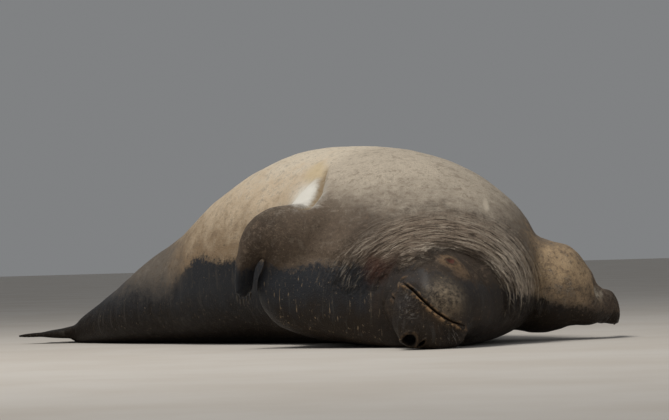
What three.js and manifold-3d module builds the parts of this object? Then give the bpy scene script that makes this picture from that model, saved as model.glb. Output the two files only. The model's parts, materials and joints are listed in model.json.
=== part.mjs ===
// An elephant seal bull asleep on its back, life size, in millimetres, +Z up.
//
// The forms are placed as a viewer in front of the animal's head sees them: x to the viewer's right,
// y away from the viewer and z up from the floor. The whole animal is then turned so that its length,
// from the hind flippers to the nose, lies along +X, with the middle of its box over the origin.
import * as THREE from 'three';
import { mergeVertices } from 'three/addons/utils/BufferGeometryUtils.js';
import Module from 'manifold-3d';

const wasm = await Module();
wasm.setup();

// The frame
const turnToLength = THREE.MathUtils.degToRad(57.5); // from the viewer's frame to the animal's length
const boxMiddle = { x: -86, y: 884 }; // the middle of the animal, in the viewer's frame
const gap = 0.3; // between nodes that touch

// The trunk, from the nape to the root of the tail. Each station is an upright section across the
// spine: x and y place its middle on the floor, left and right are its half widths as the viewer sees
// them, and top is its height over the floor.
const trunk = [
  { x: 445, y: -820, left: 190, right: 150, top: 350 },
  { x: 450, y: -785, left: 320, right: 260, top: 450 },
  { x: 460, y: -720, left: 450, right: 350, top: 540 },
  { x: 470, y: -600, left: 585, right: 440, top: 640 },
  { x: 478, y: -450, left: 700, right: 520, top: 735 },
  { x: 465, y: -230, left: 800, right: 610, top: 870 },
  { x: 420, y: 30, left: 800, right: 665, top: 975 },
  { x: 300, y: 320, left: 650, right: 660, top: 1040 },
  { x: 130, y: 580, left: 600, right: 640, top: 1065 },
  { x: -70, y: 790, left: 600, right: 620, top: 1055 },
  { x: -290, y: 980, left: 585, right: 580, top: 975 },
  { x: -510, y: 1150, left: 520, right: 500, top: 825 },
  { x: -720, y: 1310, left: 420, right: 410, top: 650 },
  { x: -930, y: 1470, left: 350, right: 340, top: 520 },
  { x: -1130, y: 1630, left: 270, right: 270, top: 380 },
  { x: -1300, y: 1780, left: 195, right: 195, top: 250 },
  { x: -1430, y: 1900, left: 140, right: 140, top: 165 },
  { x: -1500, y: 1970, left: 80, right: 80, top: 110 },
];
const widestAt = 0.42; // of a section's height
const leftRoundness = 2.15; // exponent of the section's upper left quarter: 2 is an ellipse
const rightRoundness = 1.98; // the chest leans over to the viewer's right
const lowerRoundness = 2.7; // the lower half is flattened by the animal's weight
const pressedBelow = 12; // how far the sections reach under the floor before they are cut flat
const ringsPerStation = 2;
const trunkSides = 44;

// Where the trunk is parted into nodes, counted in stations
const trunkCuts = { neck: 0, chest: 3.5, belly: 7, hips: 10.5, tail: 14 };

// The head, upside down, with its crown on the floor. Its own axes run forward to the snout, to the
// animal's right and towards the chin. Its origin is the front of the mouth.
const mouthFront = new THREE.Vector3(504, -1150, 179);
const headForward = new THREE.Vector3(0.12, -0.965, -0.23).normalize();
const headRight = new THREE.Vector3(0.64, 0, 0.77).cross(headForward).normalize();
const headChinward = new THREE.Vector3().crossVectors(headForward, headRight);
const headFrame = new THREE.Matrix4()
  .makeBasis(headForward, headRight, headChinward)
  .setPosition(mouthFront);

// The round forms that the head is blended from: place and radii along forward, right and chin
const headForms = [
  { name: 'cranium', at: [-330, 0, -60], radii: [230, 215, 180] },
  { name: 'muzzle', at: [-150, 0, -40], radii: [150, 165, 90] },
  { name: 'left whisker pad', at: [-80, -112, -62], radii: [88, 86, 74] },
  { name: 'right whisker pad', at: [-80, 112, -62], radii: [88, 86, 74] },
  { name: 'bridge of the nose', at: [-130, 0, -115], radii: [165, 128, 78] },
  { name: 'tip of the nose', at: [-5, 0, -138], radii: [85, 112, 68] },
  { name: 'chin', at: [-95, 0, 48], radii: [100, 118, 62] },
  { name: 'jaw', at: [-210, 0, 62], radii: [150, 172, 112] },
  { name: 'throat', at: [-350, 45, 62], radii: [235, 285, 182] },
];
const headCentre = new THREE.Vector3(-210, 0, -10); // the head's surface is seen whole from here
const softness = 26; // how broadly the forms run into one another
const headSides = 46;
const headRings = 30;

// The mouth, seen from the head's centre: its line runs round the muzzle from corner to corner
const mouth = { turn: 100, depth: 34, width: 5, cornerDrop: 14, lip: 8.5, lipApart: 10 };
const mouthSteps = 26;

const nostril = { apart: 86, forward: 66, drop: -182, radii: [62, 22, 29] };
const eye = { forward: -190, side: 150, drop: -95, radius: 27, cover: 5, slit: [40, 34, 3] };
const ear = { forward: -300, side: 200, drop: -90, radius: 8, depth: 26 };

// The fore flippers: sections from inside the shoulder to the knuckles
const leftArm = [
  { at: [160, -100, 440], across: [0, 0.9, 0.4], width: 190, thick: 190 },
  { at: [-50, -240, 500], across: [0, 0.9, 0.4], width: 200, thick: 240 },
  { at: [-210, -305, 545], across: [0.1, 0.95, 0.2], width: 180, thick: 212 },
  { at: [-322, -330, 572], across: [0.2, 0.95, 0], width: 138, thick: 158 },
  { at: [-398, -338, 548], across: [0.3, 0.95, 0], width: 112, thick: 104 },
  { at: [-448, -338, 478], across: [0.3, 0.95, 0], width: 105, thick: 54 },
  { at: [-470, -335, 400], across: [0.35, 0.93, 0], width: 108, thick: 34 },
  { at: [-474, -334, 325], across: [0.35, 0.93, 0], width: 106, thick: 24 },
];
const rightArm = [
  { at: [800, -40, 380], across: [0, 0.9, 0.4], width: 200, thick: 200 },
  { at: [990, -60, 300], across: [0, 0.6, 0.8], width: 260, thick: 250 },
  { at: [1140, -50, 262], across: [0, 0.3, 0.9], width: 238, thick: 220 },
  { at: [1260, -20, 225], across: [0, 0.1, 1], width: 165, thick: 150 },
  { at: [1350, 30, 180], across: [-0.3, 0.1, 1], width: 98, thick: 88 },
  { at: [1422, 120, 165], across: [-0.3, 0, 1], width: 98, thick: 72 },
  { at: [1446, 230, 160], across: [-0.4, 0, 0.9], width: 104, thick: 40 },
  { at: [1448, 330, 152], across: [-0.4, 0, 0.9], width: 104, thick: 25 },
];
const armSides = 22;
const armRings = 2; // per section

// The digits of a flipper fan out from its last section. Each is a flattened finger.
const foreDigits = { reach: [48, 66, 66, 52, 36], thick: 17, wide: 25, fan: 0.06 };
const hindDigits = { reach: [150, 100, 78, 100, 150], thick: 15, wide: 33, fan: 0.13 };
const claw = { length: 38, radius: 7 };

// The hind flippers lie on the floor behind the tail, soles down
const hindFlippers = {
  left: [
    { at: [-1340, 1800, 105], across: [0.5, 0.86, 0], width: 90, thick: 80 },
    { at: [-1490, 1890, 68], across: [0.5, 0.86, 0], width: 88, thick: 46 },
    { at: [-1600, 1955, 56], across: [0.5, 0.86, 0], width: 108, thick: 30 },
    { at: [-1690, 2010, 52], across: [0.5, 0.86, 0], width: 132, thick: 21 },
  ],
  right: [
    { at: [-1360, 1850, 105], across: [0.92, 0.4, 0], width: 90, thick: 80 },
    { at: [-1420, 2010, 68], across: [0.92, 0.4, 0], width: 88, thick: 46 },
    { at: [-1465, 2130, 56], across: [0.92, 0.4, 0], width: 108, thick: 30 },
    { at: [-1502, 2230, 52], across: [0.92, 0.4, 0], width: 132, thick: 21 },
  ],
};

const skinColour = 0x6b5c4c;
const wetColour = 0x3a3430;
const clawColour = 0x2a2522;
const eyeColour = 0x14100e;

// Makes a closed mesh from rings of points, each end closed by a fan
function loft(rings) {
  const sides = rings[0].length;
  const ends = [rings[0], rings[rings.length - 1]].map((ring) => {
    const middle = new THREE.Vector3();
    ring.forEach((p) => middle.add(p));
    return middle.divideScalar(sides);
  });
  const faces = [];
  for (let i = 0; i + 1 < rings.length; i++) {
    for (let j = 0; j < sides; j++) {
      const a = i * sides + j;
      const b = i * sides + ((j + 1) % sides);
      faces.push(a, b, b + sides, a, b + sides, a + sides);
    }
  }
  const firstEnd = rings.length * sides;
  const lastRing = firstEnd - sides;
  for (let j = 0; j < sides; j++) {
    const next = (j + 1) % sides;
    faces.push(firstEnd, next, j, firstEnd + 1, lastRing + j, lastRing + next);
  }
  const geometry = new THREE.BufferGeometry().setFromPoints([...rings.flat(), ...ends]);
  geometry.setIndex(faces);
  return geometry;
}

// Turns a closed geometry into a solid, with its faces pointing out
function solid(geometry) {
  const bare = geometry.clone();
  bare.deleteAttribute('normal');
  bare.deleteAttribute('uv');
  const merged = mergeVertices(bare, 1e-3);
  const build = (triVerts) =>
    new wasm.Manifold(
      new wasm.Mesh({ numProp: 3, vertProperties: merged.attributes.position.array, triVerts }),
    );
  const triVerts = new Uint32Array(merged.index.array);
  const made = build(triVerts);
  return made.volume() > 0 ? made : build(triVerts.reverse());
}

const largest = (body) =>
  body.decompose().reduce((best, piece) => (piece.volume() > best.volume() ? piece : best));

const join = (bodies) => bodies.reduce((sum, body) => sum.add(body));

// A named mesh of a solid
function node(name, body, colour, roughness = 0.7) {
  const { vertProperties, triVerts } = largest(body).getMesh();
  const geometry = new THREE.BufferGeometry();
  geometry.setAttribute('position', new THREE.BufferAttribute(vertProperties, 3));
  geometry.setIndex(new THREE.BufferAttribute(triVerts, 1));
  geometry.computeVertexNormals();
  const material = new THREE.MeshStandardMaterial({ color: colour, roughness, metalness: 0 });
  const mesh = new THREE.Mesh(geometry, material);
  mesh.name = name;
  return mesh;
}

const signedPower = (value, power) => Math.sign(value) * Math.abs(value) ** power;

// The trunk's sections
const spine = new THREE.CatmullRomCurve3(trunk.map((s) => new THREE.Vector3(s.x, s.y, s.top)));
const girth = new THREE.CatmullRomCurve3(trunk.map((s) => new THREE.Vector3(s.left, s.right, 0)));

function spineAt(place) {
  const t = place / (trunk.length - 1);
  const middle = spine.getPoint(t);
  const half = girth.getPoint(t);
  const along = spine.getTangent(t).setZ(0).normalize();
  const rightward = new THREE.Vector3(along.y, -along.x, 0);
  return { middle: new THREE.Vector3(middle.x, middle.y, 0), top: middle.z, half, along, rightward };
}

function trunkSection(place, grow) {
  const { middle, top, half, along, rightward } = spineAt(place);
  if (place === 0) middle.addScaledVector(along, -grow);
  if (place === trunk.length - 1) middle.addScaledVector(along, grow);
  const waist = top * widestAt;
  const ring = [];
  for (let k = 0; k < trunkSides; k++) {
    const angle = (k / trunkSides) * 2 * Math.PI;
    const toRight = Math.cos(angle) > 0;
    const upward = Math.sin(angle) > 0;
    const roundness = !upward ? lowerRoundness : toRight ? rightRoundness : leftRoundness;
    const across = signedPower(Math.cos(angle), 2 / roundness);
    const lift = signedPower(Math.sin(angle), 2 / roundness);
    const reach = (toRight ? half.y : half.x) + grow;
    const z = waist + lift * (upward ? top - waist + grow : waist + pressedBelow + grow);
    ring.push(middle.clone().addScaledVector(rightward, reach * across).setZ(z));
  }
  return ring;
}

function trunkSolid(from, to, grow = 0) {
  const rings = [];
  const count = Math.round((to - from) * ringsPerStation);
  for (let i = 0; i <= count; i++) {
    rings.push(trunkSection(THREE.MathUtils.lerp(from, to, i / count), grow));
  }
  return solid(loft(rings));
}

// The trunk between two cuts, held back by a gap from the piece in front of it
function trunkPiece(from, to) {
  const piece = trunkSolid(from, to);
  if (from === 0) return piece;
  const { middle, along } = spineAt(from);
  return piece.trimByPlane(along.toArray(), along.dot(middle) + gap);
}

// How far outside the head's blended surface a place in the head's frame lies
function outsideHead(place) {
  let sum = 0;
  headForms.forEach(({ at, radii }) => {
    const size = (radii[0] + radii[1] + radii[2]) / 3;
    const reach = new THREE.Vector3(...at).sub(place).divide(new THREE.Vector3(...radii)).length();
    sum += Math.exp(((1 - reach) * size) / softness);
  });
  return -Math.log(sum);
}

// The point of the head's surface in a direction from its centre
function onHead(direction, away = 0) {
  const unit = direction.clone().normalize();
  let inner = 0;
  let outer = 720;
  while (outer - inner > 0.05) {
    const tried = (inner + outer) / 2;
    if (outsideHead(headCentre.clone().addScaledVector(unit, tried)) > 0) outer = tried;
    else inner = tried;
  }
  return headCentre.clone().addScaledVector(unit, inner + away);
}

function headBlock() {
  const ball = new THREE.SphereGeometry(1, headSides, headRings).rotateZ(-Math.PI / 2);
  const places = ball.attributes.position;
  const place = new THREE.Vector3();
  for (let i = 0; i < places.count; i++) {
    place.fromBufferAttribute(places, i);
    places.setXYZ(i, ...onHead(place).toArray());
  }
  return solid(ball.applyMatrix4(headFrame));
}

// The direction of the mouth's line from the head's centre, from -1 at its left corner to 1
function mouthDirection(along) {
  const turned = THREE.MathUtils.degToRad(mouth.turn * along);
  const reach = 215;
  return new THREE.Vector3(
    Math.cos(turned) * reach,
    Math.sin(turned) * reach,
    10 - mouth.cornerDrop * along * along,
  );
}

// A blade as long as the mouth's line, thin at the corners, that parts the lips
function mouthBlade() {
  const rings = [];
  for (let i = 0; i <= mouthSteps; i++) {
    const along = (i / mouthSteps) * 2 - 1;
    const taper = Math.sqrt(1 - Math.abs(along) ** 3) * 0.85 + 0.15;
    const direction = mouthDirection(along);
    const surface = onHead(direction);
    const outward = direction.clone().normalize();
    const half = mouth.width * taper;
    rings.push([
      surface.clone().addScaledVector(outward, -mouth.depth * taper),
      surface.clone().add(new THREE.Vector3(0, 0, half)),
      surface.clone().addScaledVector(outward, 30).add(new THREE.Vector3(0, 0, half * 2.2)),
      surface.clone().addScaledVector(outward, 30).add(new THREE.Vector3(0, 0, -half * 2.2)),
      surface.clone().add(new THREE.Vector3(0, 0, -half)),
    ]);
  }
  return solid(loft(rings).applyMatrix4(headFrame));
}

// A lip, fused to the head along one side of the mouth's line
function lip(side) {
  const rings = [];
  for (let i = 0; i <= mouthSteps; i++) {
    const along = ((i / mouthSteps) * 2 - 1) * 1.03;
    const taper = Math.sqrt(Math.max(0, 1 - Math.abs(along / 1.03) ** 4)) * 0.9 + 0.1;
    const direction = mouthDirection(along);
    const surface = onHead(direction, -2);
    const outward = direction.clone().normalize();
    const middle = surface.add(new THREE.Vector3(0, 0, side * mouth.lipApart));
    const ring = [];
    for (let k = 0; k < 8; k++) {
      const angle = (k / 8) * 2 * Math.PI;
      ring.push(
        middle
          .clone()
          .addScaledVector(outward, Math.cos(angle) * mouth.lip * taper)
          .add(new THREE.Vector3(0, 0, Math.sin(angle) * mouth.lip * taper)),
      );
    }
    rings.push(ring);
  }
  return solid(loft(rings).applyMatrix4(headFrame));
}

// An ellipsoid on the head, its first radius along a direction from the head's centre
function headPit(place, radii, away) {
  const direction = new THREE.Vector3(...place).sub(headCentre);
  const middle = onHead(direction, away);
  const outward = direction.normalize();
  const level = new THREE.Vector3(0, 0, 1).projectOnPlane(outward).normalize();
  const across = new THREE.Vector3().crossVectors(level, outward);
  const turned = new THREE.Matrix4().makeBasis(outward, across, level).setPosition(middle);
  const ball = new THREE.SphereGeometry(1, 14, 10).scale(...radii);
  return solid(ball.applyMatrix4(turned).applyMatrix4(headFrame));
}

const eyePlace = (side) => [eye.forward, side * eye.side, eye.drop];
const eyeBall = (side, grow) => {
  const radius = eye.radius + grow;
  return headPit(eyePlace(side), [radius, radius, radius], -eye.radius - eye.cover);
};

function headSolid(aroundTrunk) {
  const pits = [];
  const bumps = [lip(-1), lip(1)];
  [-1, 1].forEach((side) => {
    const nose = [nostril.forward, (side * nostril.apart) / 2, nostril.drop];
    bumps.push(headPit(nose, [30, nostril.radii[1] + 14, nostril.radii[2] + 13], -18));
    pits.push(headPit(nose, nostril.radii, 0));
    bumps.push(headPit(eyePlace(side), [22, 52, 40], -10));
    pits.push(eyeBall(side, gap));
    pits.push(headPit(eyePlace(side), eye.slit, -6));
    const earPlace = [ear.forward, side * ear.side, ear.drop];
    bumps.push(headPit(earPlace, [10, ear.radius + 11, ear.radius + 11], -3));
    pits.push(headPit(earPlace, [ear.depth, ear.radius, ear.radius], 0));
  });
  return join([headBlock(), ...bumps])
    .subtract(join([mouthBlade(), ...pits]))
    .subtract(aroundTrunk);
}

// A ring of an elliptical section
function ellipse(middle, across, through, sides) {
  const ring = [];
  for (let k = 0; k < sides; k++) {
    const angle = (k / sides) * 2 * Math.PI;
    ring.push(
      middle
        .clone()
        .addScaledVector(across, Math.cos(angle))
        .addScaledVector(through, Math.sin(angle)),
    );
  }
  return ring;
}

// The solid that runs through elliptical sections. grow widens it, for cutting what touches it.
function limb(sections, grow = 0) {
  const path = new THREE.CatmullRomCurve3(sections.map((s) => new THREE.Vector3(...s.at)));
  const wide = new THREE.CatmullRomCurve3(sections.map((s) => new THREE.Vector3(...s.across)));
  const size = new THREE.CatmullRomCurve3(
    sections.map((s) => new THREE.Vector3(s.width + grow, s.thick + grow, 0)),
  );
  const count = (sections.length - 1) * armRings;
  const rings = [];
  for (let i = 0; i <= count; i++) {
    const t = i / count;
    const along = path.getTangent(t);
    const across = wide.getPoint(t).projectOnPlane(along).normalize();
    const through = new THREE.Vector3().crossVectors(along, across);
    const { x: width, y: thick } = size.getPoint(t);
    across.multiplyScalar(width);
    rings.push(ellipse(path.getPoint(t), across, through.multiplyScalar(thick), armSides));
  }
  return solid(loft(rings));
}

// The digits of a flipper, from the middle of its last section, with the tips that its claws sit on
function digits({ at, along, across, width }, { reach, thick, wide, fan }) {
  const through = new THREE.Vector3().crossVectors(along, across).normalize();
  return reach.map((length, i) => {
    const place = i - (reach.length - 1) / 2;
    const start = at.clone().addScaledVector(across, (place * (width - wide)) / 2);
    const heading = along.clone().addScaledVector(across, place * fan).normalize();
    start.addScaledVector(heading, -60);
    const rings = [];
    const steps = 5;
    for (let k = 0; k <= steps; k++) {
      const t = k / steps;
      const taper = Math.sqrt(1 - t ** 3 * 0.85);
      const middle = start.clone().addScaledVector(heading, t * (length + 60));
      const side = across.clone().multiplyScalar(wide * taper);
      rings.push(ellipse(middle, side, through.clone().multiplyScalar(thick * taper), 10));
    }
    const tip = start.clone().addScaledVector(heading, length + 60);
    return { body: solid(loft(rings)), tip, heading };
  });
}

// The end of an arm, as the digits need it
function handOf(sections) {
  const path = new THREE.CatmullRomCurve3(sections.map((s) => new THREE.Vector3(...s.at)));
  const last = sections[sections.length - 1];
  const along = path.getTangent(1);
  const across = new THREE.Vector3(...last.across).projectOnPlane(along).normalize();
  return { at: new THREE.Vector3(...last.at), along, across, width: last.width };
}

// A claw that lies on the end of a digit, a gap away from it
function clawSolid({ tip, heading }, grow = 0) {
  const rise = new THREE.Vector3(0, 0, 1).projectOnPlane(heading).normalize();
  const across = new THREE.Vector3().crossVectors(heading, rise);
  const rings = [0, 0.4, 0.75, 1].map((t) => {
    const size = claw.radius * (1 - t * 0.8) + grow;
    const middle = tip.clone().addScaledVector(heading, gap + t * (claw.length + grow));
    middle.addScaledVector(rise, -6 * t * t);
    return ellipse(middle, across.clone().multiplyScalar(size), rise.clone().multiplyScalar(size), 8);
  });
  return solid(loft(rings));
}

const floor = [[0, 0, 1], 0]; // the plane that the animal rests on
const seal = new THREE.Group();
const trunkEnd = trunk.length - 1;
const aroundTrunk = trunkSolid(0, trunkEnd, gap * 2);

const cuts = Object.entries(trunkCuts);
cuts.forEach(([name, from], i) => {
  const to = i + 1 < cuts.length ? cuts[i + 1][1] : trunkEnd;
  seal.add(node(name, trunkPiece(from, to).trimByPlane(...floor), skinColour));
});
seal.add(node('head', headSolid(aroundTrunk).trimByPlane(...floor), wetColour));
seal.add(node('left_eye', eyeBall(-1, 0), eyeColour, 0.1));
seal.add(node('right_eye', eyeBall(1, 0), eyeColour, 0.1));

// A flipper with its digits, cut back from the trunk and the floor
function flipper(sections, kind, around = aroundTrunk) {
  const fingers = digits(handOf(sections), kind);
  const whole = join([limb(sections), ...fingers.map(({ body }) => body)]);
  return { body: whole.subtract(around).trimByPlane(...floor), fingers };
}

Object.entries({ left: leftArm, right: rightArm }).forEach(([side, sections]) => {
  const { body, fingers } = flipper(sections, foreDigits);
  const spared = body.subtract(join(fingers.map((finger) => clawSolid(finger, gap * 2))));
  seal.add(node(`${side}_fore_flipper`, spared, skinColour));
  fingers.forEach((finger, i) => {
    seal.add(node(`${side}_claw_${i + 1}`, clawSolid(finger), clawColour, 0.4));
  });
});

const aroundLeft = aroundTrunk.add(limb(hindFlippers.left, gap * 2));
const hindLeft = flipper(hindFlippers.left, hindDigits).body;
const hindRight = flipper(hindFlippers.right, hindDigits, aroundLeft).body;
seal.add(node('left_hind_flipper', hindLeft, wetColour));
seal.add(node('right_hind_flipper', hindRight, wetColour));

seal.position.set(-boxMiddle.x, -boxMiddle.y, 0);
const lengthwise = new THREE.Group();
lengthwise.rotation.z = turnToLength;
lengthwise.add(seal);

const part = new THREE.Group();
part.add(lengthwise);
export default part;
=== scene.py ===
import json
import math
import random

import bpy
import numpy as np
from mathutils import Matrix, Vector, noise
from mathutils.bvhtree import BVHTree

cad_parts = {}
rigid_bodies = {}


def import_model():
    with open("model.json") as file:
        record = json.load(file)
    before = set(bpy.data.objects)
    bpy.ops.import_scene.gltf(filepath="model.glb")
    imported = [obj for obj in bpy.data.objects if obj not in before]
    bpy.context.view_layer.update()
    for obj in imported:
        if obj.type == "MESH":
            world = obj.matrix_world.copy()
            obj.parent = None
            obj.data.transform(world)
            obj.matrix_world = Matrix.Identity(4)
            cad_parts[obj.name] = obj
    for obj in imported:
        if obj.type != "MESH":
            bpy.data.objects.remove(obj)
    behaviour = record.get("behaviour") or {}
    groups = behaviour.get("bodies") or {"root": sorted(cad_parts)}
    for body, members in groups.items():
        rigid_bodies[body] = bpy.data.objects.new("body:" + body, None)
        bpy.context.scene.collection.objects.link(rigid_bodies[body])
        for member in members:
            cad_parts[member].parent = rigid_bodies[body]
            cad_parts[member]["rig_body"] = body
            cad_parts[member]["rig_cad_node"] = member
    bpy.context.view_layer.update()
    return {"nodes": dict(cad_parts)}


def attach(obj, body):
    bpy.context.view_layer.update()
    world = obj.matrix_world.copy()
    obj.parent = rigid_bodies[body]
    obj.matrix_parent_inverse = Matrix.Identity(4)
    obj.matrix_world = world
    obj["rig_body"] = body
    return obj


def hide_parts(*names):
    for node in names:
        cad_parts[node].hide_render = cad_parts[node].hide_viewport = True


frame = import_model()
print("model loaded")

# where things lie is given as someone in front of the animal's head sees it: x to their right,
# y away from them and z up. The animal's own frame has its length along X.
placing = {"turn": 57.5, "middleX": -0.086, "middleY": 0.884}
turnCos = math.cos(math.radians(placing["turn"]))
turnSin = math.sin(math.radians(placing["turn"]))


def fromViewer(x, y, z):
    dx, dy = x - placing["middleX"], y - placing["middleY"]
    return Vector((turnCos * dx - turnSin * dy, turnSin * dx + turnCos * dy, z))


def toViewer(points):
    seen = np.array(points, dtype=float)
    x, y = seen[:, 0].copy(), seen[:, 1].copy()
    seen[:, 0] = turnCos * x + turnSin * y + placing["middleX"]
    seen[:, 1] = -turnSin * x + turnCos * y + placing["middleY"]
    return seen


def smooth(values, low, high):
    t = np.clip((values - low) / (high - low), 0, 1)
    return t * t * (3 - 2 * t)


# the camera, far off and low over the sand
photograph = {"distance": 16.0, "height": 0.45, "focalPixels": 3048, "wide": 669, "high": 420,
              "tiltUp": 0.927, "roll": 1.5}
cameraData = bpy.data.cameras.new("photographersView")
cameraData.sensor_width = 36.0
cameraData.lens = photograph["focalPixels"] / photograph["wide"] * cameraData.sensor_width
cameraData.clip_end = 400
camera = bpy.data.objects.new("photographersView", cameraData)
bpy.context.scene.collection.objects.link(camera)
lookUp = Matrix.Rotation(math.radians(90 + photograph["tiltUp"]), 4, "X")
rolled = Matrix.Rotation(math.radians(-photograph["roll"]), 4, "Z")
turned = Matrix.Rotation(math.radians(placing["turn"]), 4, "Z")
stand = Matrix.Translation(fromViewer(0, -photograph["distance"], photograph["height"]))
camera.matrix_world = stand @ turned @ lookUp @ rolled
bpy.context.scene.camera = camera
print("camera placed")


# floor and light
studio = {
    "floor": (0.60, 0.55, 0.49), "floorPatch": (0.66, 0.62, 0.57), "floorSize": 260,
    "floorDrop": 0.0005,  # keeps the floor clear of the animal's flat underside
    "sky": (0.80, 0.82, 0.84), "skyStrength": 0.27, "target": (0.1, 0.2, 0.3),
    "keyLight": {"place": (-2.8, -2.6, 9.5), "size": 4.5, "energy": 660,
                 "colour": (1.0, 0.97, 0.92)},
    "fillLight": {"place": (4.0, -9.0, 3.5), "size": 6.0, "energy": 25,
                  "colour": (0.92, 0.96, 1.0)},
}
bpy.context.scene.view_settings.view_transform = "Standard"


def activate(thing):
    bpy.ops.object.select_all(action="DESELECT")
    thing.select_set(True)
    bpy.context.view_layer.objects.active = thing


def areaLight(name):
    light = studio[name]
    lampData = bpy.data.lights.new(name, "AREA")
    lampData.shape = "DISK"
    lampData.size = light["size"]
    lampData.energy = light["energy"]
    lampData.color = light["colour"]
    lamp = bpy.data.objects.new(name, lampData)
    bpy.context.scene.collection.objects.link(lamp)
    lamp.location = fromViewer(*light["place"])
    aim = fromViewer(*studio["target"]) - lamp.location
    lamp.rotation_euler = aim.to_track_quat("-Z", "Y").to_euler()


areaLight("keyLight")
areaLight("fillLight")
world = bpy.data.worlds.new("paleSky")
bpy.context.scene.world = world
world.use_nodes = True
skyNode = world.node_tree.nodes["Background"]
skyNode.inputs["Color"].default_value = (*studio["sky"], 1)
skyNode.inputs["Strength"].default_value = studio["skyStrength"]

bpy.ops.object.select_all(action="DESELECT")
bpy.ops.mesh.primitive_plane_add(size=studio["floorSize"], location=(0, 0, -studio["floorDrop"]))
floor = bpy.context.object
floor.name = "paleFloor"
print("floor and lights placed")


# shader maths: a socket that adds its own nodes
class Wire:
    def __init__(self, tree, socket=None):
        self.tree, self.socket = tree, socket

    def make(self, kind, settings=None, values=None, out=0):
        made = self.tree.nodes.new(kind)
        for key, value in (settings or {}).items():
            setattr(made, key, value)
        for key, value in (values or {}).items():
            if isinstance(value, Wire):
                self.tree.links.new(value.socket, made.inputs[key])
            else:
                made.inputs[key].default_value = value
        return Wire(self.tree, made.outputs[out])

    def maths(self, operation, *others):
        values = dict(enumerate((self, *others)))
        return self.make("ShaderNodeMath", {"operation": operation}, values)

    def __add__(self, other):
        return self.maths("ADD", other)

    def __radd__(self, other):
        return self.maths("ADD", other)

    def __sub__(self, other):
        return self.maths("SUBTRACT", other)

    def __rsub__(self, other):
        return (self * -1.0).maths("ADD", other)

    def __mul__(self, other):
        return self.maths("MULTIPLY", other)

    def __rmul__(self, other):
        return self.maths("MULTIPLY", other)

    def __truediv__(self, other):
        return self.maths("DIVIDE", other)

    def most(self, other):
        return self.maths("MAXIMUM", other)

    def least(self, other):
        return self.maths("MINIMUM", other)

    def ramp(self, low, high):
        values = {"Value": self, "From Min": low, "From Max": high}
        settings = {"interpolation_type": "SMOOTHSTEP", "clamp": True}
        return self.make("ShaderNodeMapRange", settings, values)

    def grain(self, scale, detail=4.0, roughness=0.55, distortion=0.0):
        values = {"Vector": self, "Scale": scale, "Detail": detail, "Roughness": roughness,
                  "Distortion": distortion}
        return self.make("ShaderNodeTexNoise", None, values)

    def cells(self, scale):
        values = {"Vector": self, "Scale": scale}
        return self.make("ShaderNodeTexVoronoi", {"feature": "DISTANCE_TO_EDGE"}, values)

    def vectorMaths(self, operation, *others, out=0):
        values = dict(enumerate((self, *others)))
        return self.make("ShaderNodeVectorMath", {"operation": operation}, values, out)

    def stretched(self, x, y, z):
        return self.vectorMaths("MULTIPLY", (x, y, z))

    def awayFrom(self, place, squash):
        return self.vectorMaths("SUBTRACT", tuple(place)).stretched(*squash)

    def length(self):
        return self.vectorMaths("LENGTH", out="Value")

    def farFrom(self, place, squash=(1, 1, 1)):
        return self.awayFrom(place, squash).length()

    def parts(self, kind="ShaderNodeSeparateXYZ"):
        split = self.make(kind, None, {0: self}).socket.node
        return [Wire(self.tree, output) for output in split.outputs]


def blended(first, second, factor):
    values = {0: factor}
    for index, colour in ((6, first), (7, second)):
        values[index] = colour if isinstance(colour, Wire) else (*colour, 1)
    settings = {"data_type": "RGBA", "clamp_factor": True}
    return factor.make("ShaderNodeMix", settings, values, 2)


def material(name):
    made = bpy.data.materials.new(name)
    made.use_nodes = True
    tree = made.node_tree
    shader = tree.nodes["Principled BSDF"]
    place = Wire(tree).make("ShaderNodeTexCoord", out="Object")
    return made, tree, shader, place


def feed(tree, shader, **inputs):
    for name, value in inputs.items():
        tree.links.new(value.socket, shader.inputs[name.replace("_", " ")])


def raised(height, strength, distance, normal=None):
    values = {"Height": height, "Strength": strength, "Distance": distance}
    if normal is not None:
        values["Normal"] = normal
    return height.make("ShaderNodeBump", None, values)


def viewerPlace(place):
    # the same place as the photographer sees it, to lay colours by height and side
    values = {
        "Vector": place,
        "Rotation": (0, 0, -math.radians(placing["turn"])),
        "Location": (placing["middleX"], placing["middleY"], 0),
    }
    return place.make("ShaderNodeMapping", {"vector_type": "POINT"}, values)


# the hide: one skin over all the flesh
hideForm = {
    "swell": 0.006, "voxel": 0.018, "smoothing": 9, "handSmoothing": 0.25,
    # where the hands and the hind flippers are, x, y, z and how far round
    "handAreas": [(-0.47, -0.33, 0.32, 0.20), (1.44, 0.30, 0.15, 0.24), (-1.72, 2.02, 0.05, 0.38),
                  (-1.50, 2.25, 0.05, 0.38)],
    "lumpScales": (3.1, 11.0, 26.0), "lumpHeights": (0.007, 0.0025, 0.0009), "lowest": 0.0004,
}
fleshNodes = ["head", "neck", "chest", "belly", "hips", "tail", "left_fore_flipper",
              "right_fore_flipper", "left_hind_flipper", "right_hind_flipper"]

# the head's own axes: forward to the snout, to the animal's right, and towards the chin
headForm = {"mouthFront": (0.504, -1.150, 0.179), "forward": (0.12, -0.965, -0.23),
            "chinward": (0.64, 0.0, 0.77), "centre": (-0.210, 0.0, -0.010)}
headAhead = Vector(headForm["forward"]).normalized()
headRight = Vector(headForm["chinward"]).cross(headAhead).normalized()
headChin = headAhead.cross(headRight)
headAxes = np.array([headAhead, headRight, headChin])
headOrigin = np.array(headForm["mouthFront"])


def bell(distance, width):
    return np.exp(-((distance / width) ** 2))


def distances(places, lines):
    return np.linalg.norm(places[:, None, :] - lines[None, :, :], axis=2)


def onHeadFrame(points):
    return (toViewer(points) - headOrigin) @ headAxes.T


def headPoint(forward, right, chin):
    seen = headOrigin + np.array([forward, right, chin]) @ headAxes
    return fromViewer(*seen)


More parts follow.
